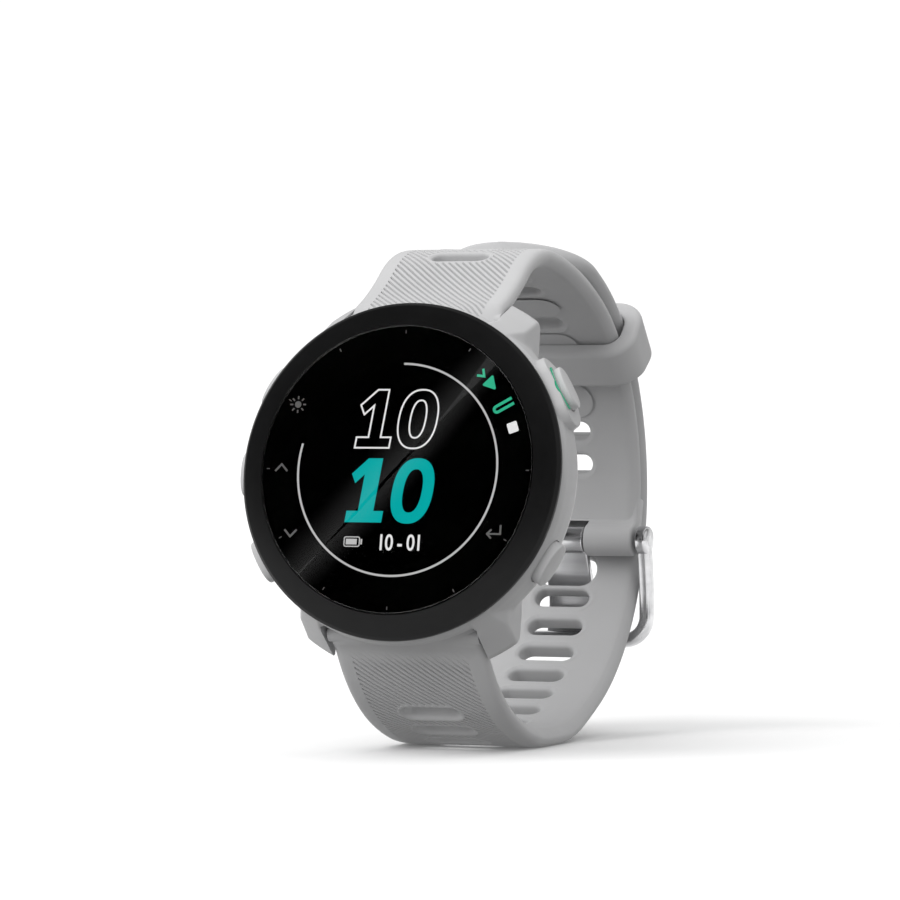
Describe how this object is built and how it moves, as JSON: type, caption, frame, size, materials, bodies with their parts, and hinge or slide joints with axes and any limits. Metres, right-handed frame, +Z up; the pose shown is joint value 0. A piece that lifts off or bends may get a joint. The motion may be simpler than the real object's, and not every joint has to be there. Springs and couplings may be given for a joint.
{
  "type": "gps running watch",
  "caption": "Round sports watch with five buttons, closed into a loop by a grooved silicone strap, keeper and steel pin buckle.",
  "frame": {"origin": "on the surface under the closed strap, below the middle of the watch's box", "axes": "+X towards 3 o'clock across the strap, +Y from the dial towards the buckle, +Z up with 12 o'clock on top"},
  "size_m": [0.0436, 0.0666, 0.0636],
  "materials": {
    "case_polymer": "fine matt whitestone fibre-filled polymer",
    "button_polymer": "satin whitestone polymer",
    "bezel_polymer": "black satin fibre-filled polymer",
    "lens_glass": "clear chemically hardened glass",
    "mask_ink": "black printed film",
    "seal_rubber": "black sealing rubber",
    "display_glass": "black reflective display stack",
    "light_guide": "milky light guide",
    "inner_frame": "black moulded frame",
    "board": "green circuit board",
    "chip": "black moulded chips",
    "steel": "satin stainless steel",
    "spring_steel": "drawn spring steel",
    "copper": "copper antenna strip",
    "cell_foil": "foil-wrapped lithium cell",
    "foam": "black foam",
    "bushing_brass": "turned brass",
    "contact_gold": "gold-plated contact",
    "cover_polymer": "fine matt whitestone polymer",
    "window_glass": "dark tinted sensor window",
    "lamp": "green and clear lamps",
    "accent_green": "green moulded inlay",
    "silicone": "matt whitestone silicone"
  },
  "bodies": {
    "case": {"case_body": "case_polymer", "bezel": "bezel_polymer", "lens": "lens_glass", "dial_mask": "mask_ink", "lens_seal": "seal_rubber", "display_panel": "display_glass", "backlight": "light_guide", "display_frame": "inner_frame", "main_board": "board", "board_chips": "chip", "shield_can": "steel", "gps_antenna": "copper", "tact_switches": "chip", "battery": "cell_foil", "battery_pad": "foam", "vibration_motor": "steel", "buzzer": "chip", "case_seal": "seal_rubber", "back_cover": "cover_polymer", "back_screws": "steel", "sensor_board": "board", "sensor_leds": "lamp", "sensor_window": "window_glass", "contact_block": "inner_frame", "charging_contacts": "contact_gold", "button_bushings": "bushing_brass", "button_seals": "seal_rubber", "start_accent": "accent_green", "spring_light": "spring_steel", "spring_up": "spring_steel", "spring_down": "spring_steel", "spring_start": "spring_steel", "spring_back": "spring_steel", "upper_strap": "silicone", "lower_strap": "silicone", "spring_bar_upper": "steel", "spring_bar_lower": "steel", "release_spring_upper": "spring_steel", "release_spring_lower": "spring_steel", "buckle_bar": "steel"},
    "light_button": {"button_light": "button_polymer", "clip_light": "spring_steel"},
    "up_button": {"button_up": "button_polymer", "clip_up": "spring_steel"},
    "down_button": {"button_down": "button_polymer", "clip_down": "spring_steel"},
    "start_button": {"button_start": "button_polymer", "clip_start": "spring_steel"},
    "back_button": {"button_back": "button_polymer", "clip_back": "spring_steel"},
    "upper_release": {"release_pin_upper": "steel"},
    "lower_release": {"release_pin_lower": "steel"},
    "frame": {"buckle_frame": "steel"},
    "tongue": {"buckle_tongue": "steel"},
    "keeper": {"keeper_loop": "silicone"}
  },
  "joints": [
    {"name": "light_press", "type": "slide", "parent": "case", "child": "light_button", "axis": [0.866, -0.0904, -0.4918], "range_m": [0, 0.00055], "stiffness_N_per_m": 1500, "springref_m": -0.001, "deforming": ["spring_light"]},
    {"name": "up_press", "type": "slide", "parent": "case", "child": "up_button", "axis": [1, 0, 0], "range_m": [0, 0.00055], "stiffness_N_per_m": 1500, "springref_m": -0.001, "deforming": ["spring_up"]},
    {"name": "down_press", "type": "slide", "parent": "case", "child": "down_button", "axis": [0.866, 0.0904, 0.4918], "range_m": [0, 0.00055], "stiffness_N_per_m": 1500, "springref_m": -0.001, "deforming": ["spring_down"]},
    {"name": "start_press", "type": "slide", "parent": "case", "child": "start_button", "axis": [-0.8746, -0.0877, -0.4768], "range_m": [0, 0.00055], "stiffness_N_per_m": 1500, "springref_m": -0.001, "deforming": ["spring_start"]},
    {"name": "back_press", "type": "slide", "parent": "case", "child": "back_button", "axis": [-0.8704, 0.0891, 0.4843], "range_m": [0, 0.00055], "stiffness_N_per_m": 1500, "springref_m": -0.001, "deforming": ["spring_back"]},
    {"name": "upper_release_slide", "type": "slide", "parent": "case", "child": "upper_release", "axis": [-1, 0, 0], "range_m": [0, 0.0013], "stiffness_N_per_m": 700, "springref_m": -0.001, "deforming": ["release_spring_upper"]},
    {"name": "lower_release_slide", "type": "slide", "parent": "case", "child": "lower_release", "axis": [-1, 0, 0], "range_m": [0, 0.0013], "stiffness_N_per_m": 700, "springref_m": -0.001, "deforming": ["release_spring_lower"]},
    {"name": "buckle_frame_hinge", "type": "hinge", "parent": "case", "child": "frame", "pos_m": [0.00039, 0.0277, 0.02501], "axis": [1, 0, 0], "range_deg": [0, 2]},
    {"name": "buckle_tongue_hinge", "type": "hinge", "parent": "frame", "child": "tongue", "pos_m": [0.00039, 0.0277, 0.02501], "axis": [1, 0, 0], "range_deg": [0, 2]},
    {"name": "keeper_slide", "type": "hinge", "parent": "case", "child": "keeper", "pos_m": [0.00039, 0.00219, 0.03158], "axis": [1, 0, 0], "range_deg": [-10, 10]}
  ]
}
